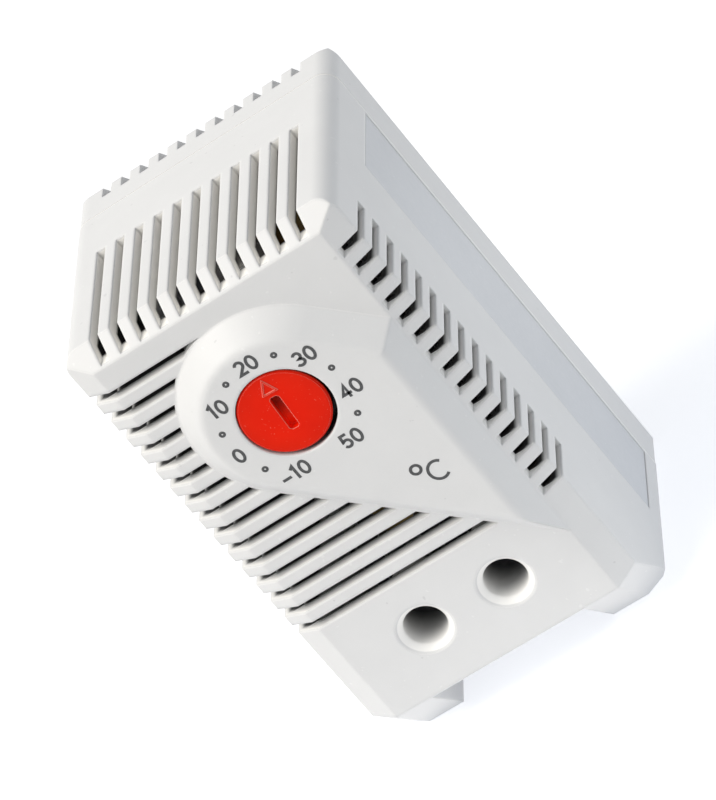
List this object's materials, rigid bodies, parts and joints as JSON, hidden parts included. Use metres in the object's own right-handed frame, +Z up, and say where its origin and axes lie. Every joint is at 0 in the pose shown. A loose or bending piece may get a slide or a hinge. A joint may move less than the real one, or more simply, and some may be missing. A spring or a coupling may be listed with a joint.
{
  "type": "bimetal thermostat",
  "caption": "Rail-mounted bimetal thermostat: vented grey housing, setting dial on a slanted boss, screw terminals, snap contact and sprung rail latch.",
  "frame": {"origin": "centre of the rail seat, on the rear plane of the base", "axes": "+Z up along the housing's height, +Y out of the rail seat to the rear, so the dial faces -Y, and +X to the right seen from the front"},
  "size_m": [0.033, 0.043, 0.06],
  "materials": {
    "housing": "fine matt moulded plastic",
    "housing_rear": "fine matt moulded plastic",
    "label_film": "satin film",
    "dial_red": "glossy moulded plastic",
    "scale_print": "pad printing",
    "nut_plastic": "natural moulded plastic",
    "insert_plastic": "dark moulded plastic",
    "brass": "rolled",
    "bimetal": "rolled",
    "plated_steel": "zinc plated",
    "spring_steel": "drawn wire",
    "contact_silver": "polished",
    "magnet": "sintered"
  },
  "bodies": {
    "housing": {"front_cover": "housing", "rear_base": "housing_rear", "rating_label": "label_film", "contact_carrier": "insert_plastic", "strip_bar": "brass", "contact_bar": "brass", "strip_rivets": "plated_steel", "fixed_contact": "contact_silver", "snap_magnet": "magnet", "bar_screws": "plated_steel", "carrier_screws": "plated_steel"},
    "dial": {"dial_knob": "dial_red", "setting_spindle": "brass", "dial_clip": "spring_steel"},
    "nut": {"setting_nut": "nut_plastic", "setting_spring": "spring_steel"},
    "strip": {"bimetal_strip": "bimetal", "armature": "plated_steel", "moving_contact": "contact_silver"},
    "screw_left": {"terminal_screw_left": "plated_steel"},
    "cage_left": {"terminal_cage_left": "plated_steel"},
    "screw_right": {"terminal_screw_right": "plated_steel"},
    "cage_right": {"terminal_cage_right": "plated_steel"},
    "latch": {"rail_latch": "housing_rear", "latch_spring": "spring_steel"}
  },
  "joints": [
    {"name": "dial_turn", "type": "hinge", "parent": "housing", "child": "dial", "pos_m": [0, -0.0375, 0.01445], "axis": [0, 1, 0], "range_deg": [-154, 146]},
    {"name": "nut_travel", "type": "slide", "parent": "housing", "child": "nut", "axis": [0, 1, 0], "range_m": [-0.00053, 0.00051], "deforming": ["setting_spring"]},
    {"name": "strip_swing", "type": "hinge", "parent": "housing", "child": "strip", "pos_m": [0, -0.02025, -0.0057], "axis": [1, 0, 0], "range_deg": [0, 2.2], "stiffness_Nm_per_rad": 0.05, "springref_deg": -2.29, "deforming": ["setting_spring"]},
    {"name": "screw_left_turn", "type": "hinge", "parent": "housing", "child": "screw_left", "pos_m": [-0.005, -0.0255, -0.0167], "axis": [0, 1, 0], "range_deg": [0, 1440]},
    {"name": "cage_left_travel", "type": "slide", "parent": "housing", "child": "cage_left", "axis": [0, -1, 0], "range_m": [0, 0.002]},
    {"name": "screw_right_turn", "type": "hinge", "parent": "housing", "child": "screw_right", "pos_m": [0.005, -0.0255, -0.0167], "axis": [0, 1, 0], "range_deg": [0, 1440]},
    {"name": "cage_right_travel", "type": "slide", "parent": "housing", "child": "cage_right", "axis": [0, -1, 0], "range_m": [0, 0.002]},
    {"name": "latch_slide", "type": "slide", "parent": "housing", "child": "latch", "axis": [0, 0, 1], "range_m": [-0.0025, 0], "stiffness_N_per_m": 1000, "springref_m": 0.0025, "deforming": ["latch_spring"]}
  ],
  "couplings": [
    {"joint": "dial_turn", "follows": "nut_travel", "rad_per_m": 5026.5},
    {"joint": "screw_left_turn", "follows": "cage_left_travel", "rad_per_m": 12566},
    {"joint": "screw_right_turn", "follows": "cage_right_travel", "rad_per_m": 12566}
  ]
}
